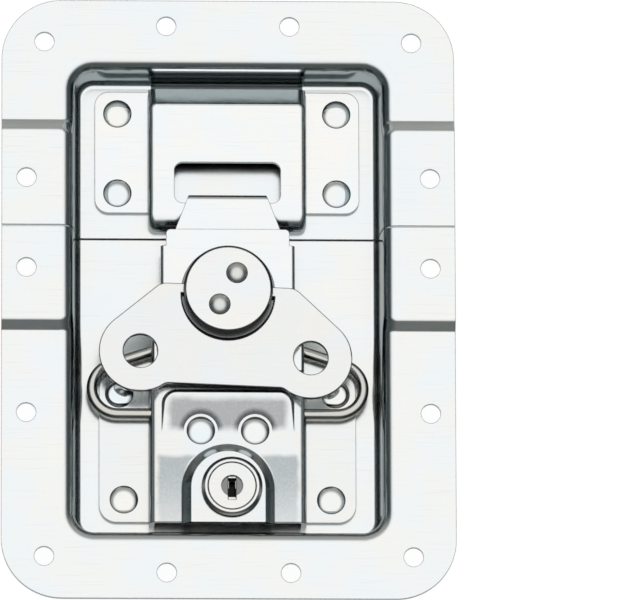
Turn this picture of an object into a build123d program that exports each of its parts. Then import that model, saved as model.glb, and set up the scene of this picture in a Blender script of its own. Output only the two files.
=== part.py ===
"""Recessed butterfly latch with a key lock, for flight cases.

Frame: X to the right, Y up the plate, Z out of the case. The origin is the centre of the
mounting plate, on the flange's back face. At rest the latch is hooked, its wing is down and
the lock is open. Lengths are in millimetres.
"""

import math
import os

from build123d import *

# ---------------------------------------------------------------- driving sizes

# Dish and flange, pressed from one sheet and parted into two halves
sheet_t = 1.2              # sheet of the dish
plate_width = 127.0
plate_length = 172.0
plate_corner_r = 17.0
dish_depth = 14.0          # flange back to floor back
pocket_half_x = 43.4       # cavity wall at the level of the flange's front face
pocket_half_y = 66.8
pocket_corner_r = 6.0
wall_draft = 6.0           # degrees
rim_r = 4.2                # front radius of the rolled rim
floor_r = 1.6              # front radius at the foot of the walls
parting_y = 20.3           # line between the two halves
parting_gap = 0.4
raise_height = 2.5         # the flange steps up over a stretch round the parting line
raise_y, raise_half = 20.9, 27.1
step_run = 3.4
step_outer_r = 2.4         # front radius of each step's upper bend
step_inner_r = 1.0         # front radius of its lower bend
least_bend_r = 0.3         # smallest radius on the back of the sheet

# Screw holes in the flange
screw_r = 2.7
corner_screw_x, corner_screw_y = 51.5, 74.0
end_screw_x, end_screw_y = 17.3, 78.6
side_screw_x = 56.5
side_screw_offsets = (13.2, -12.7, -53.8)     # from the raised stretch's middle

# Rivets
rivet_head_r = 4.0
rivet_head_h = 1.4
rivet_shank_r = 2.0
rivet_tail_r = 3.1
rivet_tail_h = 1.2
rivet_fit = 0.05           # shank in its holes
housing_tail_h = 0.8       # shorter tails inside the housing

# Keeper in the upper half
strap_t = 1.5              # sheet of the keeper and of the base plate
keeper_rise = 6.8          # face above the dish floor
keeper_half = 22.2         # outside of the hump's walls
keeper_low_y = 22.0        # foot of the curved lip
keeper_lip_r = 5.3
keeper_face_end_y = 57.7   # where the face turns down towards the top
keeper_slope = 39.0        # degrees
keeper_side_r = 2.2
keeper_bend_r = 2.5
keeper_foot_half = 37.2
keeper_foot_y0, keeper_foot_y1 = 27.6, 62.7
keeper_foot_r = 4.0
keeper_rivet_x = 30.8
keeper_rivet_ys = (56.3, 33.3)
slot_half = 14.9
slot_y0, slot_y1 = 29.3, 41.1
slot_r = 2.4

# Base plate with the lock housing in the lower half
housing_rise = 7.2
housing_half = 22.0
housing_side_r = 2.6
housing_y0, housing_y1 = -62.6, -24.0
base_foot_half = 36.0
base_foot_y0, base_foot_y1 = -61.5, -15.2
base_foot_r = 5.0
base_ear_r = 8.8
base_rivets = ((30.3, -24.6), (29.0, -55.0))
housing_rivet_x, housing_rivet_y = 7.6, -36.4
pocket_half = 18.5         # raised pocket over the wire
pocket_y0, pocket_y1 = -36.6, -24.7
pocket_slope = 9.0         # degrees, down towards the lock
pocket_side = 32.0         # degrees from upright
pocket_plan_r = 4.2
pad_r = 4.9                # flat seats that the rivet heads cut into the pocket

# Lock
lock_x, lock_y = 1.0, -53.3     # it sits a little right of the arch's middle
arch_foot_r = 13.0
arch_rise = 3.0
arch_side = 41.0           # degrees from upright
arch_overhang = 0.7        # the arch's end beyond the housing's
bezel_r = 8.5
bezel_h = 2.0
bezel_chamfer = 0.9
barrel_r = 7.8
barrel_length = 6.3        # behind the arch's front face
plug_face_r = 6.75
plug_face_t = 1.3
plug_r = 5.5
plug_tail_half = 2.2       # square tail that drives the crank
keyway_dimple_r = 3.0
keyway_dimple_depth = 0.9
keyway_width, keyway_height, keyway_depth = 2.3, 6.6, 6.0
keyway_drop = 0.7
clip_t = 1.0
clip_r = 8.4
clip_seat_r = 6.8
crank_t = 1.0
crank_reach = 3.5
crank_swing = 90.0         # degrees from open to locked
crank_pin_r = 1.0
bolt_t = 1.5
bolt_half = 4.0
bolt_tail_half = 6.5
bolt_tail_r, bolt_nose_r = 1.0, 1.2
bolt_tip_gap = 2.0         # tip to the hook plate's tab when open
bolt_tail_y = -58.6
bolt_slot_play = 0.25
guide_t = 1.0
guide_half = 11.5
guide_leg_half = 7.0

# Wire link
wire_d = 3.0
wire_lift = 3.1            # under the wire, above the dish floor
hinge_y = -31.0
curl_x, curl_r = 30.8, 7.2
wire_slant = 18.3          # degrees
neck_half = 8.7
neck_top_y = 12.1
neck_r = 4.0
wire_end_gap = 0.6         # the wire's two ends meet behind the housing face

# Hook plate
hook_t = 1.5
hook_half = 18.8
hook_neck_half = 17.3
hook_shoulder_y = 21.1
hook_flange_top_y = 16.4
hook_flange_drop = 2.2
hook_wide_half = 21.3
hook_wide_y = -1.0
hook_low_y = -19.5
hook_lip_drop = 1.1
hook_edge_r = 1.3
tongue_root_half = 14.7
tongue_tip_half = 10.8
tongue_fall = 3.0          # degrees
tongue_bend_r = 2.2
tongue_inner_r = 0.1
tongue_play = 0.7          # leg to the slot's edge when latched
tongue_bite = 3.4          # leg below the keeper's face
tab_half = 7.0

# Rotor
rotor_y = 2.8
drum_r = 10.0
pivot_r = 8.0
rotor_flange_r = 13.2
rotor_flange_t = 0.6
crank_plate_r = 10.5
crank_plate_t = 1.0
lug_r = 3.8
lug_throw = 3.0
lug_washer_r = 6.4
lug_washer_t = 0.8
stud_r = 2.2
stud_peen_h = 0.3
cap_r = 12.5
cap_t = 1.5
cap_chamfer = 0.7
cap_rivet_reach = 5.13
cap_rivet_turn = 61.9      # degrees
cap_rivet_head_r = 3.05
cap_rivet_head_h = 1.5
cap_rivet_shank_r = 1.7
cap_rivet_tail_r = 2.4

# Wing
wing_t = 2.0
wing_edge_r = 0.4
wing_turn = -2.3           # degrees, how it lies at rest
wing_hole_x, wing_hole_drop = 23.85, 18.4
wing_hole_r = 4.75
wing_lobe_r = 11.6
wing_foot_drop = 27.3      # straight lower edge below the rotor's axis
wing_top_rise = 1.5
wing_top_half = 18.8
wing_top_r = 5.0
wing_window_r = 13.0
wing_bar = 2.75            # width of the hinge bar left above the window

# Clearances
run_gap = 0.1              # between faces that turn or slide on each other
pin_gap = 0.06             # round a pin in its bore
clear_gap = 0.4            # between parts that pass each other
wire_clear = 0.5

# ---------------------------------------------------------------- levels and places

flange_top = sheet_t
floor_back = -dish_depth
floor_top = floor_back + sheet_t
foot_top = floor_top + strap_t
keeper_top = floor_top + keeper_rise
housing_top = floor_top + housing_rise
housing_under = housing_top - strap_t
wire_r = wire_d / 2
wire_z = floor_top + wire_lift + wire_r
wire_top, wire_bottom = wire_z + wire_r, wire_z - wire_r
crank_plate_z = wire_top + wire_clear
hook_z = crank_plate_z + crank_plate_t + run_gap
hook_top = hook_z + hook_t
rotor_flange_z = hook_top + run_gap
rotor_flange_top = rotor_flange_z + rotor_flange_t
wing_z = rotor_flange_top + run_gap
wing_top = wing_z + wing_t
bar_z = wing_z + wing_t / 2
bar_y = wing_top_rise - wing_bar / 2          # from the rotor's axis
bar_sweep = math.hypot(wing_bar / 2, wing_t / 2)
cap_z = bar_z + bar_sweep + run_gap
cap_top = cap_z + cap_t
washer_top = wire_bottom - wire_clear / 2
bolt_top = wire_bottom - clear_gap
bolt_z = bolt_top - bolt_t
arch_top = housing_top + arch_rise
bezel_top = arch_top + bezel_h
barrel_z = arch_top - barrel_length
crank_top = barrel_z - run_gap
crank_z = crank_top - crank_t
draw_travel = 2 * lug_throw                   # of the hook plate, in half a turn
bolt_travel = 2 * crank_reach * math.sin(math.radians(crank_swing / 2))
bolt_tip_y = hook_low_y - bolt_tip_gap
guide_y0 = housing_rivet_y - rivet_tail_r - clear_gap / 2 - guide_t
guide_y1 = hinge_y - wire_r - wire_clear
pin_start = math.radians(-crank_swing / 2)
pin_y = lock_y + crank_reach * math.sin(pin_start)
pin_x = lock_x + crank_reach * math.cos(pin_start)

draft = math.radians(wall_draft)
floor_half_x = pocket_half_x - (flange_top - floor_top) * math.tan(draft)
floor_half_y = pocket_half_y - (flange_top - floor_top) * math.tan(draft)
floor_flat_y = floor_half_y - floor_r

# ---------------------------------------------------------------- shaping helpers


def block(x0, x1, y0, y1, z0, z1):
    """Square block between two opposite corners."""
    return Pos((x0 + x1) / 2, (y0 + y1) / 2, (z0 + z1) / 2) * Box(x1 - x0, y1 - y0, z1 - z0)


def rod(x, y, r, z0, z1):
    """Round bar along Z."""
    return Pos(x, y, (z0 + z1) / 2) * Cylinder(r, z1 - z0)


def side_prism(points, radii, half_width):
    """Outline in the YZ plane, its corners rounded, carried both ways along X."""
    outline = make_face(FilletPolyline(*points, radius=radii, close=True))
    return extrude(Plane.YZ * outline, half_width, both=True)


def plan_prism(points, radii, z0, z1):
    """Outline in plan, its corners rounded, carried up from z0 to z1."""
    outline = make_face(FilletPolyline(*points, radius=radii, close=True))
    return extrude(Pos(0, 0, z0) * outline, z1 - z0)


def round_plate(x0, x1, y0, y1, r, z0, z1):
    """Flat plate with four rounded corners."""
    outline = Pos((x0 + x1) / 2, (y0 + y1) / 2, z0) * RectangleRounded(x1 - x0, y1 - y0, r)
    return extrude(outline, z1 - z0)


def mirrored(shape):
    """The same shape on the other side of the centre line."""
    return mirror(shape, about=Plane.YZ)


def rivet(seat_z, back_z, head_r, head_h, shank_r, tail_r, tail_h):
    """Domed rivet on the Z axis: head above seat_z, closed tail below back_z."""
    profile = Polyline(
        (0, seat_z + head_h), (0, back_z - tail_h), (tail_r, back_z - tail_h), (tail_r, back_z),
        (shank_r, back_z), (shank_r, seat_z), (head_r, seat_z),
    )
    dome_r = (head_r ** 2 + head_h ** 2) / (2 * head_h)
    lean = math.asin(head_r / dome_r) / 2
    middle = (dome_r * math.sin(lean), seat_z + head_h - dome_r * (1 - math.cos(lean)))
    dome = ThreePointArc((head_r, seat_z), middle, (0, seat_z + head_h))
    return revolve(Plane.XZ * make_face([profile, dome]), Axis.Z)


def edges_at(shape, axis, value, slack=0.01):
    """Edges that lie wholly at one place along an axis."""
    return shape.edges().filter_by_position(axis, value - slack, value + slack)


# ---------------------------------------------------------------- dish


def flange_profile(drop):
    """Corner points along Y of the stepped sheet, this far behind its front face."""
    angle = math.atan2(raise_height, step_run)
    shift = drop * math.tan(angle / 2)
    low, high = flange_top - drop, flange_top - drop + raise_height
    near, far = raise_half - shift, raise_half + step_run - shift
    reach = plate_length
    return [
        (raise_y - reach, low), (raise_y - far, low), (raise_y - near, high),
        (raise_y + near, high), (raise_y + far, low), (raise_y + reach, low),
    ]


def dish_form(drop):
    """Solid behind the dish's surface, this far behind its front face, rim and foot rounded."""
    convex, concave = max(step_outer_r - drop, least_bend_r), step_inner_r + drop
    points = flange_profile(drop)
    base = floor_back - plate_width / 10
    points += [(points[-1][0], base), (points[0][0], base)]
    form = side_prism(points, [0, concave, convex, convex, concave, 0, 0, 0], plate_width)
    # The pocket's walls lie square to the sheet, so the back surface is this much wider.
    spread = drop / math.cos(draft) - drop * math.tan(draft)
    mouth_z = flange_top + 2 * raise_height
    low_z = floor_top - drop
    foot = Pos(0, 0, low_z) * RectangleRounded(
        2 * (floor_half_x + spread), 2 * (floor_half_y + spread),
        pocket_corner_r - (flange_top - floor_top) * math.tan(draft) + drop,
    )
    form -= extrude(foot, mouth_z - low_z, taper=-wall_draft)
    wide_x = pocket_half_x + raise_height
    rim = [
        edge for edge in form.edges()
        if edge.center().Z > flange_top - drop - 0.01 and abs(edge.center().X) < wide_x + drop
        and abs(edge.center().Y) < pocket_half_y + raise_height + drop
        and not (abs(edge.center().X) < 1 and abs(edge.center().Y) < pocket_half_y - 2)
    ]
    form = fillet(rim, rim_r - drop)
    return fillet(edges_at(form, Axis.Z, low_z), floor_r + drop)


def screw_places():
    """Centres of the fourteen flange holes."""
    spots = [(corner_screw_x, side * corner_screw_y) for side in (1, -1)]
    spots += [(end_screw_x, side * end_screw_y) for side in (1, -1)]
    spots += [(side_screw_x, raise_y + offset) for offset in side_screw_offsets]
    return [(side * x, y) for x, y in spots for side in (1, -1)]


def floor_rivet_places():
    """Rivets through the dish floor: keeper first, then base plate."""
    keeper = [(side * keeper_rivet_x, y) for y in keeper_rivet_ys for side in (-1, 1)]
    base = [(side * x, y) for x, y in base_rivets for side in (-1, 1)]
    return keeper, base


def make_dish():
    """Both halves of the dish, lower then upper."""
    sheet = dish_form(0) - dish_form(sheet_t)
    high = flange_top + 2 * raise_height
    sheet &= round_plate(
        -plate_width / 2, plate_width / 2, -plate_length / 2, plate_length / 2,
        plate_corner_r, floor_back - 1, high,
    )
    for x, y in screw_places():
        sheet -= rod(x, y, screw_r, floor_back, high)
    for spots in floor_rivet_places():
        for x, y in spots:
            sheet -= rod(x, y, rivet_shank_r + rivet_fit, floor_back - 1, floor_top + 1)
    side, reach = plate_width, plate_length
    lower = sheet & block(
        -side, side, -reach, parting_y - parting_gap / 2, floor_back - 1, high)
    upper = sheet & block(
        -side, side, parting_y + parting_gap / 2, reach, floor_back - 1, high)
    return lower, upper


# ---------------------------------------------------------------- keeper


def keeper_form(drop):
    """Solid behind the hump's surface, this far behind its front face."""
    angle = math.radians(keeper_slope)
    top = keeper_top - drop
    low_y = keeper_low_y + drop
    turn_y = keeper_face_end_y - drop * math.tan(angle / 2)
    base = floor_back - strap_t
    points = [
        (low_y, base), (low_y, top), (turn_y, top),
        (turn_y + (top - base) / math.tan(angle), base),
    ]
    form = side_prism(
        points, [0, keeper_lip_r - drop, keeper_bend_r - drop, 0], keeper_half - drop)
    sides = [
        edge for edge in form.edges()
        if abs(abs(edge.center().X) - (keeper_half - drop)) < 0.01 and edge.center().Z > base + 0.01
    ]
    return fillet(sides, keeper_side_r - drop)


def make_keeper():
    """Strike plate: a hump with a slot between two riveted feet."""
    hollow = keeper_form(strap_t)
    hump = keeper_form(0)
    feet = round_plate(
        -keeper_foot_half, keeper_foot_half, keeper_foot_y0, keeper_foot_y1, keeper_foot_r,
        floor_top, foot_top,
    )
    plate = (hump + feet) - hollow
    plate &= block(
        -keeper_foot_half, keeper_foot_half, keeper_low_y, floor_flat_y - clear_gap / 2,
        floor_top, keeper_top,
    )
    plate -= round_plate(
        -slot_half, slot_half, slot_y0, slot_y1, slot_r, keeper_top - 2 * strap_t, keeper_top + 1)
    for x, y in floor_rivet_places()[0]:
        plate -= rod(x, y, rivet_shank_r + rivet_fit, floor_top - 1, foot_top + 1)
    return plate


# ---------------------------------------------------------------- base plate


def wall_inset(drop, lean):
    """How far in the foot of a leaning wall lies, this far behind the sheet's front face."""
    angle = math.radians(lean)
    return drop * (1 - math.sin(angle)) / math.cos(angle)


def arch_form(drop):
    """Raised arch round the lock, this far behind its front face."""
    foot_r = arch_foot_r - wall_inset(drop, arch_side)
    foot = Circle(foot_r) + Pos(0, -2 * foot_r) * Rectangle(2 * foot_r, 4 * foot_r)
    low, high = housing_top - drop, arch_top - drop
    arch = extrude(Pos(0, lock_y, low) * foot, high - low, taper=arch_side)
    return arch & block(
        -foot_r, foot_r, housing_y0 - arch_overhang, lock_y + foot_r, low, high)


def pocket_form(drop):
    """Raised pocket over the wire: steep at the top and sides, falling towards the lock."""
    slope = math.tan(math.radians(pocket_slope))
    rise = wire_top + wire_clear + strap_t - housing_top + slope * (pocket_y1 - hinge_y)
    low, inset = housing_top - drop, wall_inset(drop, pocket_side)
    foot = Pos(0, (pocket_y0 + pocket_y1) / 2 - pocket_plan_r, low) * RectangleRounded(
        2 * (pocket_half - inset), pocket_y1 - pocket_y0 + 2 * (pocket_plan_r - inset),
        pocket_plan_r - inset,
    )
    raised = extrude(foot, 2 * rise, taper=pocket_side)
    reach = 2 * pocket_half
    crown = side_prism(
        [
            (pocket_y1 + 1, low), (pocket_y1 + 1, low + rise + slope),
            (pocket_y1 - rise / slope, low),
        ],
        [0, 0, 0], reach,
    )
    return raised & crown


def make_base_plate():
    """Lock housing pressed up between two riveted feet, open at its lower end."""
    low, high = floor_back - 1, arch_top + 1
    hump = block(-housing_half, housing_half, housing_y0, housing_y1, low, housing_top)
    hump = fillet(edges_at(hump, Axis.Z, housing_top).filter_by(Axis.Y), housing_side_r)
    inner = housing_half - strap_t
    hollow = block(
        -inner, inner, housing_y0 - 2 * arch_overhang, housing_y1 + 1, low, housing_under)
    hollow = fillet(
        edges_at(hollow, Axis.Z, housing_under).filter_by(Axis.Y), housing_side_r - strap_t)
    pocket, under_pocket = pocket_form(0), pocket_form(strap_t)
    for side in (-1, 1):
        x, y = side * housing_rivet_x, housing_rivet_y
        pocket -= rod(x, y, pad_r, housing_top, high)
        under_pocket -= rod(x, y, rivet_tail_r + clear_gap, low, high)
    ear = base_foot_half - base_ear_r
    foot = round_plate(
        inner - 1, base_foot_half, base_foot_y0, base_foot_y1 - base_ear_r, base_foot_r,
        floor_top, foot_top,
    )
    foot += rod(ear, base_foot_y1 - base_ear_r, base_ear_r, floor_top, foot_top)
    foot += block(
        inner, base_foot_half, housing_y0 / 2, base_foot_y1 - base_ear_r, floor_top, foot_top)
    foot += block(
        inner, base_foot_half - base_ear_r, housing_y0 / 2, base_foot_y1, floor_top, foot_top)
    foot += block(inner, inner + base_foot_r, base_foot_y0, base_foot_y0 / 2, floor_top, foot_top)
    plate = hump + foot + mirrored(foot) + pocket + arch_form(0)
    plate = plate - hollow - under_pocket - arch_form(strap_t)
    plate &= block(
        -base_foot_half, base_foot_half, housing_y0 - arch_overhang, base_foot_y1, floor_top,
        high)
    for x, y in floor_rivet_places()[1]:
        plate -= rod(x, y, rivet_shank_r + rivet_fit, low, foot_top + 1)
    for side in (-1, 1):
        plate -= rod(
            side * housing_rivet_x, housing_rivet_y, rivet_shank_r + rivet_fit, housing_under - 1,
            high)
    plate -= rod(lock_x, lock_y, barrel_r + rivet_fit, low, high)
    plate -= Pos(0, hinge_y, wire_z) * Rot(0, 90, 0) * Cylinder(wire_r + pin_gap, 3 * housing_half)
    return plate


# ---------------------------------------------------------------- lock


def make_bolt_guide():
    """Folded bracket under the housing face; the bolt runs through its leg."""
    guide = round_plate(
        -guide_half, guide_half, guide_y0, guide_y1, guide_t, housing_under - guide_t,
        housing_under,
    )
    guide += block(
        -guide_leg_half, guide_leg_half, guide_y0, guide_y0 + guide_t, floor_top + run_gap,
        housing_under - guide_t / 2,
    )
    guide -= block(
        -bolt_half - run_gap, bolt_half + run_gap, guide_y0 - 1, guide_y0 + guide_t + 1,
        bolt_z - run_gap, bolt_top + run_gap,
    )
    for side in (-1, 1):
        guide -= rod(
            side * housing_rivet_x, housing_rivet_y, rivet_shank_r + rivet_fit, floor_top,
            housing_top)
    return guide


def make_barrel():
    """Lock body: bezel in front of the arch, shank through it, groove for the clip."""
    body = rod(lock_x, lock_y, bezel_r, arch_top, bezel_top)
    body = chamfer(edges_at(body, Axis.Z, bezel_top), bezel_chamfer)
    body += rod(lock_x, lock_y, barrel_r, barrel_z, arch_top)
    clip_top = arch_top - strap_t
    groove = rod(lock_x, lock_y, barrel_r + 1, clip_top - clip_t - run_gap, clip_top)
    body -= groove - rod(lock_x, lock_y, clip_seat_r, floor_back, arch_top)
    body -= rod(lock_x, lock_y, plug_r + pin_gap, barrel_z - 1, bezel_top)
    body -= rod(
        lock_x, lock_y, plug_face_r + pin_gap, bezel_top - plug_face_t - run_gap, bezel_top + 1)
    return body


def make_clip():
    """Horseshoe clip pushed into the barrel's groove from below."""
    clip_top = arch_top - strap_t
    seat = clip_seat_r + rivet_fit
    clip = rod(lock_x, lock_y, clip_r, clip_top - clip_t, clip_top)
    clip -= rod(lock_x, lock_y, seat, floor_back, arch_top)
    return clip - block(
        lock_x - seat, lock_x + seat, lock_y - 2 * clip_r, lock_y, floor_back, arch_top)


def make_plug():
    """Turning plug with a dimple and keyway; its square tail drives the crank."""
    plug = rod(lock_x, lock_y, plug_face_r, bezel_top - plug_face_t, bezel_top)
    plug = chamfer(edges_at(plug, Axis.Z, bezel_top), bezel_chamfer / 4)
    plug += rod(lock_x, lock_y, plug_r, crank_top, bezel_top - plug_face_t)
    tail = plug_tail_half
    plug += block(
        lock_x - tail, lock_x + tail, lock_y - tail, lock_y + tail, crank_z, crank_top)
    plug -= rod(lock_x, lock_y, keyway_dimple_r, bezel_top - keyway_dimple_depth, bezel_top + 1)
    middle = lock_y - keyway_drop
    plug -= block(
        lock_x - keyway_width / 2, lock_x + keyway_width / 2, middle - keyway_height / 2,
        middle + keyway_height / 2, bezel_top - keyway_depth, bezel_top + 1,
    )
    return plug


def make_crank():
    """Flat crank on the plug's tail, with a pin down into the bolt."""
    tail = plug_tail_half + rivet_fit
    crank = rod(lock_x, lock_y, plug_r, crank_z, crank_top)
    crank += rod(pin_x, pin_y, crank_pin_r * 2, crank_z, crank_top)
    crank -= block(
        lock_x - tail, lock_x + tail, lock_y - tail, lock_y + tail, crank_z - 1, crank_top + 1)
    return crank + rod(pin_x, pin_y, crank_pin_r, bolt_z - run_gap, crank_z)


def make_bolt():
    """Sliding bolt: nose towards the hook plate's tab, cross slot for the crank pin."""
    bolt = plan_prism(
        [
            (-bolt_half, bolt_tail_y), (bolt_tail_half, bolt_tail_y),
            (bolt_tail_half, lock_y + bolt_half / 2), (bolt_half, lock_y + bolt_half / 2),
            (bolt_half, bolt_tip_y), (-bolt_half, bolt_tip_y),
        ],
        [bolt_tail_r] * 4 + [bolt_nose_r] * 2, bolt_z, bolt_top,
    )
    reach = crank_pin_r + bolt_slot_play
    return bolt - block(
        pin_x - reach, lock_x + crank_reach + reach, pin_y - reach, pin_y + reach, bolt_z - 1,
        bolt_top + 1)


# ---------------------------------------------------------------- wire link


def wire_half():
    """Right half of the link's centre line, from the hinge run to the neck's top."""
    turn = 180 - wire_slant
    hinge = Line((wire_end_gap / 2, hinge_y), (curl_x, hinge_y))
    curl = JernArc(hinge @ 1, hinge % 1, curl_r, turn)
    lead = curl % 1
    # The slanting run ends where a bend of neck_r turns it into the neck's side.
    bend = math.radians(turn - 90)
    bend_x = neck_half + neck_r * (1 - math.cos(bend))
    length = (bend_x - (curl @ 1).X) / lead.X
    slant = Line(curl @ 1, curl @ 1 + lead * length)
    neck_bend = JernArc(slant @ 1, lead, neck_r, -math.degrees(bend))
    side = Line(neck_bend @ 1, (neck_half, neck_top_y - neck_r))
    shoulder = JernArc(side @ 1, (0, 1), neck_r, 90)
    return [hinge, curl, slant, neck_bend, side, shoulder]


def make_wire_link():
    """Round wire bent into a hanger: hinge run, two curls and a neck round the crank's lug."""
    half = wire_half()
    top = Line(half[-1] @ 1, (-(half[-1] @ 1).X, neck_top_y))
    other = [mirror(piece, about=Plane.YZ) for piece in half]
    bends = [edge for piece in [*half, top, *other] for edge in piece.edges()]
    path = Pos(0, 0, wire_z) * Wire(bends)
    start = Plane((wire_end_gap / 2, hinge_y, wire_z), x_dir=(0, 1, 0), z_dir=(1, 0, 0))
    return sweep(start * Circle(wire_r), path=path)


# ---------------------------------------------------------------- hook plate


def make_tongue():
    """Tongue that falls gently, then bends down through the keeper's slot."""
    fall = math.tan(math.radians(tongue_fall))
    inner_y = slot_y0 + tongue_play
    outer_y = inner_y + hook_t
    root_y = hook_shoulder_y - hook_t
    drop = (outer_y - root_y) * fall
    low = keeper_top - tongue_bite
    strip = side_prism(
        [
            (root_y, hook_z), (inner_y, hook_z - drop), (inner_y, low), (outer_y, low),
            (outer_y, hook_top - drop), (root_y, hook_top),
        ],
        [0, tongue_inner_r, hook_t / 4, hook_t / 4, tongue_bend_r, 0], tongue_root_half,
    )
    plan = plan_prism(
        [
            (-tongue_root_half, root_y), (-tongue_root_half, hook_shoulder_y),
            (-tongue_tip_half, outer_y), (tongue_tip_half, outer_y),
            (tongue_root_half, hook_shoulder_y), (tongue_root_half, root_y),
        ],
        [0] * 6, floor_back, hook_top + 1,
    )
    return strip & plan


def make_hook_plate():
    """Draw plate: tongue, body with turned-down sides, wide foot with the lock's tab."""
    right = [
        (hook_neck_half, hook_shoulder_y), (hook_neck_half, hook_flange_top_y),
        (hook_half, hook_flange_top_y), (hook_half, hook_wide_y), (hook_wide_half, hook_wide_y),
        (hook_wide_half, hook_low_y),
    ]
    left = [(-x, y) for x, y in reversed(right)]
    radii = [hook_edge_r, 0, 0, 0, 0, 0]
    plate = plan_prism(right + left, radii + radii[::-1], hook_z, hook_top)
    flange = block(
        hook_half - hook_t, hook_half, hook_wide_y, hook_flange_top_y,
        hook_z - hook_flange_drop, hook_top,
    )
    lip = block(
        hook_wide_half - hook_t, hook_wide_half, hook_low_y, hook_wide_y,
        hook_z - hook_lip_drop, hook_top,
    )
    for side in (flange, lip):
        plate += side + mirrored(side)
    bends = [
        edge for edge in edges_at(plate, Axis.Z, hook_top).filter_by(Axis.Y)
        if abs(edge.center().X) > hook_half - 0.01
    ]
    plate = fillet(bends, hook_edge_r)
    tab_low = floor_top + run_gap + clear_gap / 2
    tab = block(-tab_half, tab_half, hook_low_y, hook_low_y + hook_t, tab_low, hook_top - hook_t / 2)
    tab -= block(
        -bolt_half - clear_gap, bolt_half + clear_gap, hook_low_y - 1, hook_low_y + hook_t + 1,
        bolt_z - run_gap, bolt_top + run_gap,
    )
    plate += tab + make_tongue()
    return plate - rod(0, rotor_y, pivot_r + pin_gap, floor_back, hook_top + 1)


# ---------------------------------------------------------------- rotor


def cap_rivet_places():
    """The cap's two rivets, on a line through the rotor's axis."""
    angle = math.radians(cap_rivet_turn)
    reach = [side * cap_rivet_reach for side in (1, -1)]
    return [(r * math.cos(angle), rotor_y + r * math.sin(angle)) for r in reach]


def with_rivet_holes(shape):
    """The shape, drilled for the cap's two rivets."""
    for x, y in cap_rivet_places():
        shape -= rod(x, y, cap_rivet_shank_r + rivet_fit, floor_back, cap_top + 1)
    return shape


def make_drum():
    """Turntable: pivot in the hook plate, flange on it, groove for the wing's hinge bar."""
    drum = rod(0, rotor_y, pivot_r, crank_plate_z + crank_plate_t, rotor_flange_z)
    drum += rod(0, rotor_y, rotor_flange_r, rotor_flange_z, rotor_flange_top)
    drum += rod(0, rotor_y, drum_r, rotor_flange_top, cap_z)
    half = bar_sweep + run_gap
    groove = block(
        -2 * rotor_flange_r, 2 * rotor_flange_r, bar_y - half, bar_y + half, bar_z - half,
        cap_z + 1)
    drum -= Pos(0, rotor_y, 0) * Rot(0, 0, wing_turn) * groove
    return with_rivet_holes(drum)


def make_crank_plate():
    """Round plate under the hook plate, with the off-centre lug that the wire pulls on."""
    plate = rod(0, rotor_y, crank_plate_r, crank_plate_z, crank_plate_z + crank_plate_t)
    plate = with_rivet_holes(plate)
    lug_y = rotor_y + lug_throw
    tail = cap_rivet_shank_r + rivet_fit
    lug = rod(0, lug_y, lug_r, washer_top, crank_plate_z)
    lug += rod(0, lug_y, stud_r, washer_top - lug_washer_t - stud_peen_h, washer_top)
    for x, y in cap_rivet_places():
        lug -= rod(x, y, tail + cap_rivet_shank_r / 2, crank_plate_z - 1, crank_plate_z)
    return plate + lug


def make_lug_washer():
    """Washer peened onto the lug; it keeps the wire on."""
    washer = rod(0, rotor_y + lug_throw, lug_washer_r, washer_top - lug_washer_t, washer_top)
    return washer - rod(0, rotor_y + lug_throw, stud_r + rivet_fit, floor_back, washer_top + 1)


def make_cap():
    """Round cap over the hinge bar."""
    cap = rod(0, rotor_y, cap_r, cap_z, cap_top)
    cap = chamfer(edges_at(cap, Axis.Z, cap_top), cap_chamfer)
    return with_rivet_holes(cap)


# ---------------------------------------------------------------- wing


def lobe_tangent(near, centre, r, sign):
    """Point where a straight line from a point touches a circle, on the chosen side."""
    dx, dy = centre[0] - near[0], centre[1] - near[1]
    span = math.hypot(dx, dy)
    angle = math.atan2(dy, dx) + sign * math.asin(r / span)
    along = math.sqrt(span ** 2 - r ** 2)
    return (near[0] + along * math.cos(angle), near[1] + along * math.sin(angle))


def make_wing():
    """Butterfly handle: two lobes with finger holes, and a window that leaves the hinge bar."""
    shoulder = (wing_top_half, wing_top_rise)
    lobe = (wing_hole_x, -wing_hole_drop)
    touch = lobe_tangent(shoulder, lobe, wing_lobe_r, 1)
    foot_dx = math.sqrt(wing_lobe_r ** 2 - (wing_foot_drop - wing_hole_drop) ** 2)
    waist = (wing_hole_x - foot_dx, -wing_foot_drop)
    right = [(0, wing_top_rise), shoulder, touch, lobe, waist, (0, -wing_foot_drop)]
    body = plan_prism(right, [0] * 6, 0, wing_t) + rod(*lobe, wing_lobe_r, 0, wing_t)
    body += mirrored(body)
    corners = [
        edge for edge in body.edges().filter_by(Axis.Z)
        if abs(edge.center().Y - wing_top_rise) < 0.01
    ]
    body = fillet(corners, wing_top_r)
    waists = [
        edge for edge in body.edges().filter_by(Axis.Z)
        if abs(edge.center().Y + wing_foot_drop) < 0.01
    ]
    body = fillet(waists, wing_top_r / 2)
    window_y = wing_top_rise - wing_bar
    window = rod(0, window_y, wing_window_r, -1, wing_t + 1)
    window &= block(
        -wing_window_r, wing_window_r, window_y - wing_window_r, window_y, -1, wing_t + 1)
    body -= window
    for side in (-1, 1):
        body -= rod(side * lobe[0], lobe[1], wing_hole_r, -1, wing_t + 1)
    rims = edges_at(body, Axis.Z, 0) + edges_at(body, Axis.Z, wing_t)
    body = fillet(rims, wing_edge_r)
    return Pos(0, rotor_y, wing_z) * Rot(0, 0, wing_turn) * body


# ---------------------------------------------------------------- assembly


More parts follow.
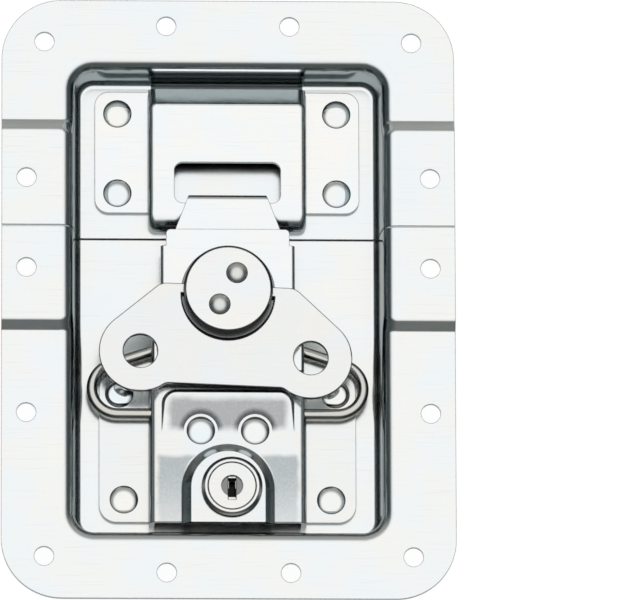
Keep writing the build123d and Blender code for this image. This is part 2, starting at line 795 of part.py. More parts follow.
def make_pieces():
    """Every piece by its node name."""
    pieces = {}
    pieces["dish_lower"], pieces["dish_upper"] = make_dish()
    pieces["keeper_plate"] = make_keeper()
    pieces["base_plate"] = make_base_plate()
    floor_rivet = rivet(
        foot_top, floor_back, rivet_head_r, rivet_head_h, rivet_shank_r, rivet_tail_r,
        rivet_tail_h)
    for name, spots in zip(("keeper", "base"), floor_rivet_places()):
        for number, (x, y) in enumerate(spots, 1):
            pieces[f"{name}_rivet_{number}"] = Pos(x, y, 0) * floor_rivet
    housing_rivet = rivet(
        housing_top, housing_under - guide_t, rivet_head_r, rivet_head_h, rivet_shank_r,
        rivet_tail_r, housing_tail_h)
    for number, side in enumerate((-1, 1), 1):
        pieces[f"housing_rivet_{number}"] = (
            Pos(side * housing_rivet_x, housing_rivet_y, 0) * housing_rivet)
    pieces["bolt_guide"] = make_bolt_guide()
    pieces["lock_barrel"] = make_barrel()
    pieces["lock_clip"] = make_clip()
    pieces["lock_plug"] = make_plug()
    pieces["lock_crank"] = make_crank()
    pieces["lock_bolt"] = make_bolt()
    pieces["wire_link"] = make_wire_link()
    pieces["hook_plate"] = make_hook_plate()
    pieces["rotor_drum"] = make_drum()
    pieces["crank_plate"] = make_crank_plate()
    pieces["lug_washer"] = make_lug_washer()
    pieces["rotor_cap"] = make_cap()
    cap_rivet = rivet(
        cap_top, crank_plate_z, cap_rivet_head_r, cap_rivet_head_h, cap_rivet_shank_r,
        cap_rivet_tail_r, wire_clear / 2)
    for number, (x, y) in enumerate(cap_rivet_places(), 1):
        pieces[f"cap_rivet_{number}"] = Pos(x, y, 0) * cap_rivet
    pieces["wing"] = make_wing()
    return pieces


def main():
    """Write one STEP file for each piece."""
    os.makedirs("parts", exist_ok=True)
    for name, piece in make_pieces().items():
        export_step(piece, f"parts/{name}.step")
        print(name, len(piece.solids()), round(piece.volume, 1))


if __name__ == "__main__":
    main()
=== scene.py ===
# %% [markdown]
# # A recessed butterfly latch for a flight case
# The latch is a pressed dish of zinc-plated sheet steel. It holds a keeper, a lock housing, a
# hook plate, a rotor under a round cap, a bent wire link and a butterfly wing that turns the
# rotor. The metal pieces come from the CAD model at their true size, so this lesson is about
# the camera, the light, the finishes and four small fittings that are modelled by hand.
# Lengths are in metres.

# %% Load the latch
import math

import bpy
from mathutils import Matrix, Vector


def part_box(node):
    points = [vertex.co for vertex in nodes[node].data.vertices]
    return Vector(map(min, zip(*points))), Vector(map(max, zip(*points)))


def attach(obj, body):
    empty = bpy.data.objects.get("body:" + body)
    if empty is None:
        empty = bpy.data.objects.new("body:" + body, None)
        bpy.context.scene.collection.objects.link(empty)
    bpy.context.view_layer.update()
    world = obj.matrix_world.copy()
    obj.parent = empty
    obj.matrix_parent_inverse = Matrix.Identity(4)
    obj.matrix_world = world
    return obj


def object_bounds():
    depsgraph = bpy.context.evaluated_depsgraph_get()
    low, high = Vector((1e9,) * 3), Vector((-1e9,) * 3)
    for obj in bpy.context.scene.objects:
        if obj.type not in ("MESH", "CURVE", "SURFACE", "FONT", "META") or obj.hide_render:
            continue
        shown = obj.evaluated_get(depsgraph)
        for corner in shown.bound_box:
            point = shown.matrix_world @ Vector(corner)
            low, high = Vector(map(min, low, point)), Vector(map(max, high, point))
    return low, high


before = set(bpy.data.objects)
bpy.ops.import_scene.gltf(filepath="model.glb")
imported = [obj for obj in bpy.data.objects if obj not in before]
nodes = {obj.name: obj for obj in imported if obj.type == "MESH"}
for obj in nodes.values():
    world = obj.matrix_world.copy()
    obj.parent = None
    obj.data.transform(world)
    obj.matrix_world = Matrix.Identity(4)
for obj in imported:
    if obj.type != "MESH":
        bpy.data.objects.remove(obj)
cad_box = [list(corner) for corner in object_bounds()]
scene = bpy.context.scene

# %% [markdown]
# ## The camera
# The latch is seen almost square on, from slightly below, with a very long lens, so its edges
# stay parallel. A camera can be aimed with a tracking constraint, but here its three axes are
# worked out from angles and written as a matrix, because that keeps the small roll exact. It
# aims to the right of the plate, so the plate stands left of the middle in the frame.

# %% Camera
view_drop = math.radians(13.7)       # below the plate's normal
view_side = math.radians(1.9)        # to the left of it
view_roll = math.radians(-0.2)
view_distance = 4.1
view_width = 0.1751                  # width of the frame at the plate
aim_right, aim_up = 0.0237, -0.0002
film_width = 36                      # in millimetres, as lenses are
far_limit = 20

towards = Vector((
    -math.sin(view_side) * math.cos(view_drop), -math.sin(view_drop),
    math.cos(view_side) * math.cos(view_drop),
))
level = Vector((math.cos(view_side), 0, math.sin(view_side)))
across = level * math.cos(view_roll) + towards.cross(level) * math.sin(view_roll)
upward = towards.cross(across)

camera_data = bpy.data.cameras.new("bench_camera")
camera_data.sensor_width = film_width
camera_data.lens = film_width * view_distance / view_width
camera_data.clip_end = far_limit
camera = bpy.data.objects.new("bench_camera", camera_data)
scene.collection.objects.link(camera)
turn = Matrix((across, upward, towards)).transposed().to_4x4()
camera.matrix_world = Matrix.Translation(
    towards * view_distance + across * aim_right + upward * aim_up) @ turn
scene.camera = camera
scene.view_settings.view_transform = "Standard"
print("lens", round(camera_data.lens), "mm, camera at", [round(v, 3) for v in camera.location])

# %% [markdown]
# ## Helpers for nodes
# The light and every finish are built from nodes. In the node editor each would be added and
# joined by hand. Here small helpers add a node, join it and hand on its output, so that a
# recipe further down reads as a list of steps.

# %% Nodes for numbers and vectors


def add_node(tree, kind, values=None, **settings):
    """Add a node, set its settings, then its input values."""
    node = tree.nodes.new(kind)
    for name, value in settings.items():
        setattr(node, name, value)
    for name, value in (values or {}).items():
        node.inputs[name].default_value = value
    return node


def arithmetic(tree, operation, first, second=None):
    """One step of arithmetic on an output and, where there is one, a second output or number."""
    node = add_node(tree, "ShaderNodeMath", operation=operation)
    tree.links.new(first, node.inputs[0])
    if isinstance(second, (int, float)):
        node.inputs[1].default_value = second
    elif second is not None:
        tree.links.new(second, node.inputs[1])
    return node.outputs[0]


def vector_arithmetic(tree, operation, first, *others, result="Vector"):
    """One step of arithmetic on vectors. The others are fixed values or outputs."""
    node = add_node(tree, "ShaderNodeVectorMath", operation=operation)
    tree.links.new(first, node.inputs[0])
    for socket, other in zip(node.inputs[1:], others):
        if isinstance(other, tuple):
            socket.default_value = other
        else:
            tree.links.new(other, socket)
    return node.outputs[result]


def split(tree, vector):
    """The X, Y and Z parts of a vector."""
    parts = add_node(tree, "ShaderNodeSeparateXYZ")
    tree.links.new(vector, parts.inputs["Vector"])
    return parts.outputs


def flat_point(tree, x, y):
    """A point at height zero from its X and Y."""
    point = add_node(tree, "ShaderNodeCombineXYZ")
    tree.links.new(x, point.inputs["X"])
    tree.links.new(y, point.inputs["Y"])
    return point.outputs["Vector"]


def remap(tree, value, start, end, from_level, to_level, curve="LINEAR"):
    """Go from one level to another while a value goes from start to end, and no further."""
    ramp = add_node(
        tree, "ShaderNodeMapRange",
        {"From Min": start, "From Max": end, "To Min": from_level, "To Max": to_level},
        interpolation_type=curve)
    tree.links.new(value, ramp.inputs["Value"])
    return ramp.outputs["Result"]


def spread(tree, value, start, end):
    """Rise softly from 0 to 1 while a value goes from start to end, upwards or downwards."""
    return remap(tree, value, start, end, 0, 1, curve="SMOOTHSTEP")


print("number and vector helpers ready")

# %% Nodes for colours, patterns and patches


def blend_colours(tree, factor, first, second):
    """Mix two colours, each a fixed value or the output of another node."""
    mix = add_node(tree, "ShaderNodeMix", data_type="RGBA")
    tree.links.new(factor, mix.inputs["Factor"])
    for socket, colour in (("A", first), ("B", second)):
        target = [i for i in mix.inputs if i.name == socket and i.type == "RGBA"][0]
        if isinstance(colour, tuple):
            target.default_value = (*colour, 1)
        else:
            tree.links.new(colour, target)
    return [o for o in mix.outputs if o.type == "RGBA"][0]


def noise(tree, place, scale, detail, roughness=0.5):
    """A soft random pattern."""
    pattern = add_node(
        tree, "ShaderNodeTexNoise", {"Scale": scale, "Detail": detail, "Roughness": roughness})
    tree.links.new(place, pattern.inputs["Vector"])
    return pattern.outputs


def box_mask(tree, place, centre, half, soft):
    """One inside a soft-edged box seen from above, mirrored about the plate's middle line."""
    at = split(tree, place)
    mask = None
    for axis, middle, reach in zip("XY", centre, half):
        side = at[axis]
        if axis == "X":
            side = arithmetic(tree, "ABSOLUTE", side)
        off = arithmetic(tree, "ABSOLUTE", arithmetic(tree, "SUBTRACT", side, middle))
        inside = spread(tree, off, reach + soft, reach)
        mask = inside if mask is None else arithmetic(tree, "MULTIPLY", mask, inside)
    return mask


print("colour, pattern and patch helpers ready")

# %% [markdown]
# ## Light
# Plated steel shows its surroundings more than its own colour. A bright tent above gives the
# pale faces, and dark sides give the deep lines along every bend. Lamps and cards could stand
# round the latch, but the tent is written into the world as a blend that depends on direction,
# because then each part of it is one colour: white overhead, grey beyond the head of the
# plate, and dark beyond its foot and to the left and right.

# %% World
tent_white = (1.0, 1.0, 1.0)
tent_head = (0.36, 0.36, 0.34)       # low down beyond the head of the plate
tent_foot = (0.11, 0.12, 0.12)       # low down beyond its foot
tent_sides = (0.05, 0.065, 0.07)     # to its left and right
foot_to_head = (-0.3, 0.3)           # where a direction's Y passes from foot to head
sides_to_ends = (0.25, 0.85)         # where its Y, either way, passes from sides to ends
low_to_white = (0.50, 0.78)          # where its Z passes from these to the white

world = bpy.data.worlds.new("light_tent")
scene.world = world
world.use_nodes = True
tree = world.node_tree
tree.nodes.clear()
direction = split(tree, add_node(tree, "ShaderNodeTexCoord").outputs["Generated"])
ends = blend_colours(tree, spread(tree, direction["Y"], *foot_to_head), tent_foot, tent_head)
along = arithmetic(tree, "ABSOLUTE", direction["Y"])
horizon = blend_colours(tree, spread(tree, along, *sides_to_ends), tent_sides, ends)
sky = blend_colours(tree, spread(tree, direction["Z"], *low_to_white), horizon, tent_white)
background = add_node(tree, "ShaderNodeBackground", {"Strength": 1.0})
tree.links.new(sky, background.inputs["Color"])
world_end = add_node(tree, "ShaderNodeOutputWorld")
tree.links.new(background.outputs["Background"], world_end.inputs["Surface"])
print("tent nodes:", len(tree.nodes))

# %% [markdown]
# ## The bench top
# The latch lies on its rivet tails on white paper. To the camera, and in reflections, the
# paper shows nearly white of its own accord, with a little of the real light on it, so it
# keeps the latch's soft shadow. Under the dish's floor its glow is turned down to a painted
# shadow, as dark as paper is under a thing that lies on it. For all other light it is plain
# white paper. Blender's operators act on whatever is selected, and the loaded pieces arrive
# selected, so everything is deselected before the sheet is added.

# %% Bench top
paper_size = 6
paper_drop = 0.0001                      # below the rivet tails
paper_white = (0.85, 0.85, 0.85, 1)
shadow_share = (0.2, 0.2, 0.2, 1)        # how much of the real light the camera sees on it
open_glow, covered_glow = 0.9, 0.02
floor_half, floor_soft = (0.042, 0.065), 0.002   # the dish's floor over the paper

bpy.ops.object.select_all(action="DESELECT")
bpy.ops.mesh.primitive_plane_add(size=paper_size, location=(0, 0, cad_box[0][2] - paper_drop))
paper = bpy.context.object
paper.name = "bench_paper"
paper_finish = bpy.data.materials.new("white_paper")
paper_finish.use_nodes = True
tree = paper_finish.node_tree
tree.nodes.clear()
ray = add_node(tree, "ShaderNodeLightPath").outputs
seen = arithmetic(tree, "MAXIMUM", ray["Is Camera Ray"], ray["Is Glossy Ray"])
seen = arithmetic(tree, "MAXIMUM", seen, ray["Is Transmission Ray"])
spot = add_node(tree, "ShaderNodeTexCoord").outputs["Object"]
# painted shadow: the paper's glow is turned down under the dish's floor
under = box_mask(tree, spot, (0, 0), floor_half, floor_soft)
glow = add_node(tree, "ShaderNodeEmission", {"Color": (1, 1, 1, 1)})
tree.links.new(remap(tree, under, 0, 1, open_glow, covered_glow), glow.inputs["Strength"])
lit = add_node(tree, "ShaderNodeBsdfDiffuse", {"Color": shadow_share})
shown = add_node(tree, "ShaderNodeAddShader")
tree.links.new(lit.outputs[0], shown.inputs[0])
tree.links.new(glow.outputs[0], shown.inputs[1])
plain = add_node(tree, "ShaderNodeBsdfDiffuse", {"Color": paper_white})
choice = add_node(tree, "ShaderNodeMixShader")
tree.links.new(seen, choice.inputs[0])
tree.links.new(plain.outputs[0], choice.inputs[1])
tree.links.new(shown.outputs[0], choice.inputs[2])
paper_end = add_node(tree, "ShaderNodeOutputMaterial")
tree.links.new(choice.outputs[0], paper_end.inputs["Surface"])
paper.data.materials.append(paper_finish)
print("paper at z", round(paper.location.z, 5))

# %% [markdown]
# ## Plated steel: walls and edges
# Every piece is steel with a thin plating, but each has its own tones and gloss, so one recipe
# makes them all, from the parts in this and the next two cells. Drawing and bending polish the
# steep walls, and their darker tone is painted shade, for the dark surroundings that they
# reflect. The steepness is read from the piece's own normals, so it turns with the piece. A
# sharp edge gets a thin dark line of painted reflection, found where a rounded normal leaves
# the true one, because a line drawn by hand would have to follow every hole and corner.

# %% Steep walls and sharp edges
edge_radius = 0.0004
edge_samples = 6
edge_starts, edge_full = 0.995, 0.90     # how far the two normals still agree


def steepness(tree, normal, flat_to, steep_span):
    """Zero while a normal's upward part is above flat_to, one where it is steep_span below."""
    upward_part = arithmetic(tree, "ABSOLUTE", split(tree, normal)["Z"])
    return spread(tree, upward_part, flat_to, flat_to - steep_span)


def rounded_normal(tree):
    """The normal of the surface with its sharp edges eased."""
    eased = add_node(tree, "ShaderNodeBevel", {"Radius": edge_radius}, samples=edge_samples)
    return eased.outputs["Normal"]


def edge_lines(tree, rounded, outline):
    """A painted dark line, for the reflection in a rounded edge, of strength outline along each
    sharp edge.
    """
    true_normal = add_node(tree, "ShaderNodeNewGeometry").outputs["Normal"]
    agreement = vector_arithmetic(tree, "DOT_PRODUCT", rounded, true_normal, result="Value")
    return remap(tree, agreement, edge_starts, edge_full, 0, outline)


print("edge radius", edge_radius)

# %% [markdown]
# ## Plated steel: clouds and streaks
# Plating leaves soft clouds of blue and straw, and rolling leaves faint streaks along the
# sheet. Both could be painted, but here each is a noise pattern in the piece's own
# coordinates, and the streaks' noise is stretched along X.

# %% Clouds and streaks
cloud_scale, cloud_detail, cloud_roughness = 55.0, 4.0, 0.6
cloud_range = (0.3, 0.7)                 # the part of the noise that is used
cool_lean, warm_lean = (-1.2, 0.0, 0.8), (0.8, 0.2, -1.0)
streak_stretch, streak_detail = (60, 2600, 2600), 3.0
streak_range = (0.55, 0.8)
rubbed_share = 0.94                      # a streak's tone against its face's


def leaned(colour, lean, amount):
    """A colour with each channel moved a little, and none above one."""
    return tuple(min(1, c * (1 + amount * s)) for c, s in zip(colour, lean))


def sheet_patterns(tree, place):
    """The noise of the clouds and the noise of the streaks."""
    clouds = noise(tree, place, cloud_scale, cloud_detail, cloud_roughness)["Fac"]
    stretched = add_node(tree, "ShaderNodeMapping", {"Scale": streak_stretch})
    tree.links.new(place, stretched.inputs["Vector"])
    streaks = noise(tree, stretched.outputs["Vector"], 1.0, streak_detail)["Fac"]
    return clouds, streaks


def plating(tree, face, cloud, clouds, streaks):
    """A face's colour with its clouds and streaks."""
    tone = blend_colours(
        tree, spread(tree, clouds, *cloud_range), leaned(face, cool_lean, cloud),
        leaned(face, warm_lean, cloud))
    streak_and_highlight = tuple(c * rubbed_share for c in face)
    return blend_colours(tree, spread(tree, streaks, *streak_range), tone, streak_and_highlight)


print("clouds and streaks ready")

# %% [markdown]
# ## Plated steel: gloss and grain
# The gloss of a face follows the clouds, and all walls have one gloss, because the press tool
# has polished them. The streaks can just be felt. A drawn or bent wall has small ripples, and
# a rivet's head was struck a little flatter than its form. Ripples and heads could be
# sculpted, but they are too shallow to change an outline, so only the normals lean.

# %% Gloss, grain, ripples and struck domes
wall_roughness = 0.10
least_share, most_share = 0.85, 1.15     # how far the clouds move a face's roughness
grain_depth = 0.00005
ripple_scale, ripple_detail = 210.0, 1.0


def uneven_roughness(tree, roughness, clouds, steep):
    """Roughness that varies with the clouds on a face and is even on a wall."""
    mix = add_node(tree, "ShaderNodeMix", {"B": wall_roughness}, data_type="FLOAT")
    tree.links.new(steep, mix.inputs["Factor"])
    on_face = remap(
        tree, clouds, *cloud_range, roughness * least_share, roughness * most_share)
    tree.links.new(on_face, mix.inputs["A"])
    return mix.outputs["Result"]


def raised(tree, surface, height, depth, strength=1.0):
    """Lean a surface's normals as a relief of that height would."""
    relief = add_node(tree, "ShaderNodeBump", {"Strength": strength, "Distance": depth})
    tree.links.new(height, relief.inputs["Height"])
    tree.links.new(surface, relief.inputs["Normal"])
    return relief.outputs["Normal"]


def rippled(tree, surface, place, steep, ripple):
    """Ripples on the walls alone."""
    swell = noise(tree, place, ripple_scale, ripple_detail)["Fac"]
    return raised(tree, surface, arithmetic(tree, "MULTIPLY", swell, steep), ripple)


def struck_flatter(tree, normal, amount):
    """Lean a piece's own normals towards its face, and turn them into the scene's axes."""
    kept = (1 - amount,) * 3
    placed = add_node(
        tree, "ShaderNodeVectorTransform", vector_type="NORMAL", convert_from="OBJECT",
        convert_to="WORLD")
    tree.links.new(
        vector_arithmetic(tree, "MULTIPLY_ADD", normal, kept, (0, 0, amount)),
        placed.inputs["Vector"])
    return placed.outputs["Vector"]


print("gloss and grain ready, walls at roughness", wall_roughness)

# %% [markdown]
# ## Plated steel: the recipe
# The parts are put together from the sheet outwards: the plating's colour, the darker walls,
# the piece's own marks and the edge lines, of which the last three are painted shade and
# highlights, then the gloss and the leaning of the normals. The tint of the glance, which is
# what steel reflects at a grazing angle, is below white, because old plating has no clean edge
# sheen.

# %% Recipe for plated steel
edge_share = 0.45                        # an edge line's tone against the wall's


def plated_steel(
        name, face, wall, roughness, cloud=0.03, bump=0.02, flat_to=0.93, steep_span=0.48,
        outline=0.85, ripple=0.0, struck=0.0, marks=None, glance=0.6):
    """Plated steel with a tone for its faces, a painted-shade tone for its walls, and a piece's
    own painted marks.
    """
    material = bpy.data.materials.new(name)
    material.use_nodes = True
    tree = material.node_tree
    shader = tree.nodes["Principled BSDF"]
    shader.inputs["Metallic"].default_value = 1
    shader.inputs["Specular Tint"].default_value = (glance, glance, glance, 1)
    coords = add_node(tree, "ShaderNodeTexCoord").outputs
    place = coords["Object"]
    rounded = rounded_normal(tree)
    steep = steepness(tree, coords["Normal"], flat_to, steep_span)
    clouds, streaks = sheet_patterns(tree, place)

    tone = plating(tree, face, cloud, clouds, streaks)
    # painted shade: the steep walls take the darker wall tone
    tone = blend_colours(tree, steep, tone, wall)
    # painted shade and highlights in the piece's own places
    if marks:
        tone = marks(tree, place, steep, tone)
    # painted reflection: a dark line along each sharp edge
    edge_tone = tuple(edge_share * c for c in wall)
    tone = blend_colours(tree, edge_lines(tree, rounded, outline), tone, edge_tone)
    tree.links.new(tone, shader.inputs["Base Color"])
    tree.links.new(
        uneven_roughness(tree, roughness, clouds, steep), shader.inputs["Roughness"])

    surface = struck_flatter(tree, coords["Normal"], struck) if struck else rounded
    surface = raised(tree, surface, streaks, grain_depth, strength=bump)
    if ripple:
        surface = rippled(tree, surface, place, steep, ripple)
    tree.links.new(surface, shader.inputs["Normal"])
    return material


print("recipe ready")

# %% [markdown]
# ## Painted shade and highlights in place
# Five finishes carry painted shade and painted highlights that belong to a place. Such marks
# could be painted on an image, but here each is a soft-edged patch with a named size, in a
# place that is worked out from the pieces that it lies on or beside, so it follows them. All
# five functions take the same values, so that the recipe can call any of them.

# %% Helpers for marks
stray_scale, stray_detail = 200.0, 2.0


def middle_of(name):
    """The middle of a CAD piece, seen from above."""
    low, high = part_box(name)
    return (low[0] + high[0]) / 2, (low[1] + high[1]) / 2


def distance_from(tree, place, centre, mirrored):
    """How far a point is from an upright axis, or from a mirrored pair of axes."""
    at = split(tree, place)
    side = arithmetic(tree, "ABSOLUTE", at["X"]) if mirrored else at["X"]
    flat = flat_point(tree, side, at["Y"])
    return vector_arithmetic(tree, "DISTANCE", flat, (*centre, 0), result="Value")


def strayed(tree, place, reach):
    """Shift a place a little, unevenly, so that a patch of painted shade ends in a wandering
    edge.
    """
    wander = noise(tree, place, stray_scale, stray_detail)["Color"]
    evened = vector_arithmetic(tree, "SUBTRACT", wander, (0.5, 0.5, 0.5))
    return vector_arithmetic(tree, "MULTIPLY_ADD", evened, (reach, reach, 0), place)


lock_at = middle_of("lock_barrel")
print("lock at", [round(v, 4) for v in lock_at])

# %% [markdown]
# ## Marks on the housing
# The two flats beside the arch and the hollow round the two upper rivets are darkened with
# painted shade, and a painted shadow lies as a dark halo close to the rivets' heads. A fine
# speckle breaks both up, and both fade where the sheet turns down into a wall.

# %% Housing marks
rivet_at = middle_of("housing_rivet_2")
speckle_scale, speckle_detail = 1500.0, 3.0
least_speckle, most_speckle = 0.90, 1.10
housing_stray = 0.0016
arch_head_y = lock_at[1] + 0.0013        # middle of the arch's round head
arch_edge = (0.0122, 0.0130)             # from the arch's middle line to its flats
flat_middle, flat_half, flat_soft = (0.0132, lock_at[1] - 0.0013), (0.0055, 0.0101), 0.0018
flat_fade = (lock_at[1] - 0.0247, lock_at[1] + 0.0093)
# painted shade on the flats and in the hollow, and a painted shadow round the rivets
flat_shade_tone = (0.48, 0.52, 0.53)
hollow_middle, hollow_half, hollow_soft = (0, rivet_at[1] + 0.0048), (0.0150, 0.0028), 0.0026
rivet_edge = (0.0047, 0.0050)            # from a rivet's axis
hollow_shade_tone = (0.44, 0.455, 0.46)
halo_edge = (0.0068, 0.0050)
halo_shadow_tone = (0.12, 0.13, 0.13)


def housing_marks(tree, place, steep, tone):
    """Painted shade on the flats beside the arch and in the hollow, with painted shadow halos
    round the upper rivets.
    """
    speckle = noise(tree, place, speckle_scale, speckle_detail)["Fac"]
    speckle = remap(tree, speckle, *cloud_range, least_speckle, most_speckle)
    strength = arithmetic(tree, "SUBTRACT", speckle, steep)
    from_rivets = distance_from(tree, place, rivet_at, mirrored=True)
    place = strayed(tree, place, housing_stray)

    at = split(tree, place)
    above = arithmetic(tree, "SUBTRACT", at["Y"], arch_head_y)
    beside = flat_point(tree, at["X"], arithmetic(tree, "MAXIMUM", above, 0.0))
    from_arch = vector_arithmetic(tree, "LENGTH", beside, result="Value")
    flats = box_mask(tree, place, flat_middle, flat_half, flat_soft)
    flats = arithmetic(tree, "MULTIPLY", flats, spread(tree, from_arch, *arch_edge))
    flats = arithmetic(tree, "MULTIPLY", flats, spread(tree, at["Y"], *flat_fade))
    tone = blend_colours(tree, arithmetic(tree, "MULTIPLY", flats, strength), tone, flat_shade_tone)

    hollow = box_mask(tree, place, hollow_middle, hollow_half, hollow_soft)
    hollow = arithmetic(tree, "MULTIPLY", hollow, spread(tree, from_rivets, *rivet_edge))
    hollow = arithmetic(tree, "MULTIPLY", hollow, strength)
    tone = blend_colours(tree, hollow, tone, hollow_shade_tone)
    halo = arithmetic(tree, "MULTIPLY", hollow, spread(tree, from_rivets, *halo_edge))
    return blend_colours(tree, halo, tone, halo_shadow_tone)


print("flats at", [round(v, 4) for v in flat_middle])

# %% [markdown]
# ## Marks on the dish and the keeper
# The dish's wall behind the keeper has a painted highlight at its top, and painted shade in a
# dark band below it and at its foot. The floor under the keeper, above its slot, has painted
# shade. The keeper's slope towards that wall gets a painted highlight, so that it stands out
# against the dark band.

# %% Dish and keeper marks
plate_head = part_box("dish_upper")[1][1]
keeper_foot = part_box("keeper_plate")[0][1]
wall_middle, wall_half, wall_soft = (0, plate_head - 0.0200), (0.0212, 0.0030), 0.0003
# painted light on the wall behind the keeper: one highlight band, two bands of shade
wall_bands = {                           # top and foot of each band, and its tone
    "streak_and_highlight": (-0.0006, -0.0026, (1, 1, 1)),
    "painted_shade_band": (-0.0034, -0.0058, (0.04, 0.05, 0.055)),
    "foot": (-0.0122, -0.0300, (0.12, 0.13, 0.13)),
}
band_top_soft, band_foot_soft = 0.0003, 0.0004
# painted shade on the floor under the keeper
shade_middle, shade_half, shade_soft = (0, keeper_foot + 0.0250), (0.0150, 0.0060), 0.0004
shade_fade = (keeper_foot + 0.0168, keeper_foot + 0.0204)
shade_tone = (0.04, 0.045, 0.045)
# painted highlight on the keeper's slope
slope_middle, slope_half, slope_soft = (0, keeper_foot + 0.0386), (0.0200, 0.0032), 0.0004
slope_highlight_tone = (0.98, 1.0, 1.0)


def dish_marks(tree, place, steep, tone):
    """Painted highlight and shade bands on the wall behind the keeper, and painted shade on the
    floor above its slot.
    """
    at = split(tree, place)
    wall = box_mask(tree, place, wall_middle, wall_half, wall_soft)
    for top, foot, band_tone in wall_bands.values():
        below_top = spread(tree, at["Z"], top + band_top_soft, top - band_top_soft)
        below_foot = spread(tree, at["Z"], foot + band_foot_soft, foot - band_foot_soft)
        band = arithmetic(tree, "SUBTRACT", below_top, below_foot)
        tone = blend_colours(tree, arithmetic(tree, "MULTIPLY", wall, band), tone, band_tone)
    shade = box_mask(tree, place, shade_middle, shade_half, shade_soft)
    shade = arithmetic(tree, "MULTIPLY", shade, spread(tree, at["Y"], *shade_fade))
    return blend_colours(tree, shade, tone, shade_tone)


def keeper_marks(tree, place, steep, tone):
    """A painted highlight makes the keeper's slope towards the wall paler than its other bends.
    """
    slope = box_mask(tree, place, slope_middle, slope_half, slope_soft)
    return blend_colours(tree, slope, tone, slope_highlight_tone)


print("bands on the wall:", ", ".join(wall_bands))

# %% [markdown]
# ## Marks on the hook plate and the lock
# The hook plate under the rotor, on the side that the wing covers, is painted black as painted
# shade in the gap under the cap. The plug's dished face is painted grey and its keyway black, as
# painted shade in these recesses.
# Depth alone tells the lock's face, its dish and its keyway apart.

# %% Hook plate and lock marks
cap_at = middle_of("rotor_cap")
face_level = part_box("lock_plug")[1][2]
# painted shade on the hook plate under the rotor's cap
cap_shade_edge = (0.0165, 0.0150)           # from the rotor's axis
cap_shade_soft = 0.0005
cap_shade_tone = (0.02, 0.02, 0.02)
# painted shade in the plug's dish and deep in its keyway
recess_shade_depth, recess_shade_tone = (0.0004, 0.0008), (0.26, 0.26, 0.255)
keyway_shade_depth, keyway_shade_tone = (0.0010, 0.0015), (0.012, 0.012, 0.012)


def hook_marks(tree, place, steep, tone):
    """Painted shade under the rotor's cap, on the side that the wing covers."""
    cap_shaded = spread(tree, distance_from(tree, place, cap_at, mirrored=False), *cap_shade_edge)
    covered = spread(
        tree, split(tree, place)["Y"], cap_at[1] + cap_shade_soft, cap_at[1] - cap_shade_soft)
    cap_shaded = arithmetic(tree, "MULTIPLY", cap_shaded, covered)
    return blend_colours(tree, cap_shaded, tone, cap_shade_tone)


def lock_marks(tree, place, steep, tone):
    """Painted shade: grey below the lock's face and black deep in its keyway."""
    height = split(tree, place)["Z"]
    for (begins, full), mark_tone in ((recess_shade_depth, recess_shade_tone), (keyway_shade_depth, keyway_shade_tone)):
        below = spread(tree, height, face_level - begins, face_level - full)
        tone = blend_colours(tree, below, tone, mark_tone)
    return tone


print("painted_cap_shade round", [round(v, 4) for v in cap_at], "lock face at z", round(face_level, 4))

# %% [markdown]
# ## The finishes
# The dish, the strap and the housing are bright zinc, with painted shade on their bends. The
# wing and the cap are flatter and whiter, with painted shade on their sheared edges. The domed
# rivets are smooth and glossy, the two on the cap are plain steel, the wire is nickelled, and
# the lock is polished, with painted shade that makes its bezel's rings dark. The pieces that
# work out of sight are duller.

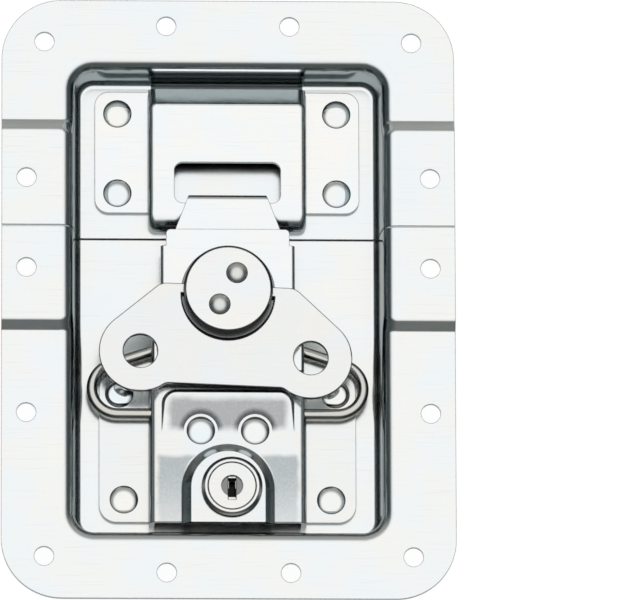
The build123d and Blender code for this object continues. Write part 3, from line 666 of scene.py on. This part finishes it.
# %% Finishes
# each finish's wall tone is painted shade on its steep walls, bends and edges
finishes = {
    "dish_sheet": plated_steel(
        "dish_zinc", face=(0.90, 0.915, 0.915), wall=(0.40, 0.45, 0.46), roughness=0.20,
        flat_to=0.985, steep_span=0.50, ripple=0.00003, marks=dish_marks),
    "strap_sheet": plated_steel(
        "strap_zinc", face=(0.93, 0.935, 0.93), wall=(0.42, 0.46, 0.47), roughness=0.20,
        flat_to=0.985, steep_span=0.50, ripple=0.00012, marks=keeper_marks),
    "housing_sheet": plated_steel(
        "housing_zinc", face=(0.88, 0.89, 0.885), wall=(0.40, 0.44, 0.45), roughness=0.20,
        ripple=0.00006, marks=housing_marks),
    "hook_sheet": plated_steel(
        "hook_zinc", face=(0.92, 0.93, 0.935), wall=(0.34, 0.37, 0.38), roughness=0.20,
        flat_to=0.99, marks=hook_marks),
    "wing_sheet": plated_steel(
        "wing_zinc", face=(0.88, 0.885, 0.88), wall=(0.22, 0.23, 0.225), roughness=0.26,
        bump=0.01, flat_to=0.995, steep_span=0.30),
    "cap_plate": plated_steel(
        "cap_zinc", face=(0.90, 0.90, 0.895), wall=(0.20, 0.205, 0.20), roughness=0.24,
        flat_to=0.99, steep_span=0.25),
    "dome_rivet": plated_steel(
        "dome_zinc", face=(0.90, 0.91, 0.91), wall=(0.20, 0.22, 0.22), roughness=0.09,
        cloud=0.05, flat_to=0.845, steep_span=0.06, struck=0.12),
    "cap_rivet": plated_steel(
        "cap_rivet_steel", face=(0.76, 0.76, 0.74), wall=(0.22, 0.22, 0.21), roughness=0.30,
        flat_to=0.9),
    "link_wire": plated_steel(
        "wire_nickel", face=(0.68, 0.66, 0.62), wall=(0.26, 0.25, 0.23), roughness=0.13,
        flat_to=0.995, steep_span=0.42),
    "lock_metal": plated_steel(
        "lock_nickel", face=(0.88, 0.875, 0.86), wall=(0.30, 0.30, 0.295), roughness=0.14,
        outline=0.45, marks=lock_marks),
    # painted shade: the bezel's rings are near black
    "bezel_metal": plated_steel(
        "bezel_nickel", face=(0.88, 0.875, 0.86), wall=(0.055, 0.055, 0.06), roughness=0.14,
        flat_to=0.97, glance=0.05),
    "inner_steel": plated_steel(
        "inner_zinc", face=(0.34, 0.35, 0.36), wall=(0.14, 0.15, 0.15), roughness=0.30),
    "ward_nickel": plated_steel(
        "ward_nickel", face=(0.86, 0.84, 0.78), wall=(0.40, 0.39, 0.36), roughness=0.18),
}
print("finishes:", ", ".join(finishes))

# %% [markdown]
# ## Dressing the pieces
# Each loaded piece arrives with one slot, named after the finish it should have. The finish
# goes into that slot, and the piece itself stays untouched. The base plate and the lock's
# barrel share a slot's name with a neighbour but are marked differently, so each of them has
# a finish of its own.

# %% Assign the finishes
own_finishes = {"base_plate": "housing_sheet", "lock_barrel": "bezel_metal"}
for name, piece in nodes.items():
    slot_name = piece.material_slots[0].material.name.split(".")[0]
    piece.material_slots[0].material = finishes[own_finishes.get(name, slot_name)]
print("dressed", len(nodes), "pieces")

# %% [markdown]
# ## The keyway's fittings
# A key slides between two wards and over a foot at the keyway's lower end, with a lip at its
# upper end. They are tiny steps of the plug's metal that catch the light. Each could be a
# plain block, but a real one has a shallow pan and eased edges, so a cube is sized in place,
# its top face is inset and pushed down, and a bevel is applied. All four turn with the plug.

# %% A block with a pan in its top
block_foot = face_level - 0.0040
pan_rim, pan_depth = 0.00006, 0.00008
block_edge, block_edge_steps = 0.00003, 2
smooth_below = math.radians(40)
hair = 1e-6                              # below any size here, to pick the top's corners


def panned_block(name, across_to, along_to, top):
    """A block between two sides and two ends, with a shallow pan in its top and eased edges."""
    low = Vector((lock_at[0] + across_to[0], lock_at[1] + along_to[0], block_foot))
    high = Vector((lock_at[0] + across_to[1], lock_at[1] + along_to[1], top))
    bpy.ops.object.select_all(action="DESELECT")
    bpy.ops.mesh.primitive_cube_add(size=1, location=(low + high) / 2)
    block = bpy.context.object
    block.name = name
    block.scale = high - low
    bpy.ops.object.transform_apply(location=True, rotation=False, scale=True)
    for corner in block.data.vertices:
        corner.select = corner.co.z > top - hair
    for part in [*block.data.edges, *block.data.polygons]:
        part.select = all(block.data.vertices[v].select for v in part.vertices)
    bpy.ops.object.mode_set(mode="EDIT")
    bpy.ops.mesh.select_mode(type="FACE")
    bpy.ops.mesh.inset(thickness=pan_rim)
    bpy.ops.transform.translate(value=(0, 0, -pan_depth))
    bpy.ops.object.mode_set(mode="OBJECT")
    eased = block.modifiers.new("eased", "BEVEL")
    eased.width, eased.segments = block_edge, block_edge_steps
    bpy.ops.object.modifier_apply(modifier=eased.name)
    bpy.ops.object.shade_smooth_by_angle(angle=smooth_below)
    block.data.materials.append(finishes["ward_nickel"])
    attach(block, "key_plug")
    print(name, "faces:", len(block.data.polygons))


print("blocks stand on z", round(block_foot, 4))

# %% Wards, foot and lip, placed from the lock's own axis
keyway_half = 0.00115
keyway_top, keyway_foot = 0.0026, -0.0040
ward_width, ward_ends = 0.0003, (-0.0007, 0.0016)
ward_top = face_level - 0.0009
foot_length = 0.0009
lip_below, lip_above = 0.0004, 0.0002    # on either side of the keyway's top
end_top = ward_top + 0.0003

for side, edge in (("left", -keyway_half), ("right", keyway_half - ward_width)):
    panned_block("keyway_ward_" + side, (edge, edge + ward_width), ward_ends, ward_top)
panned_block(
    "keyway_foot", (-keyway_half, keyway_half), (keyway_foot, keyway_foot + foot_length), end_top)
panned_block(
    "keyway_lip", (-keyway_half, keyway_half), (keyway_top - lip_below, keyway_top + lip_above),
    end_top)
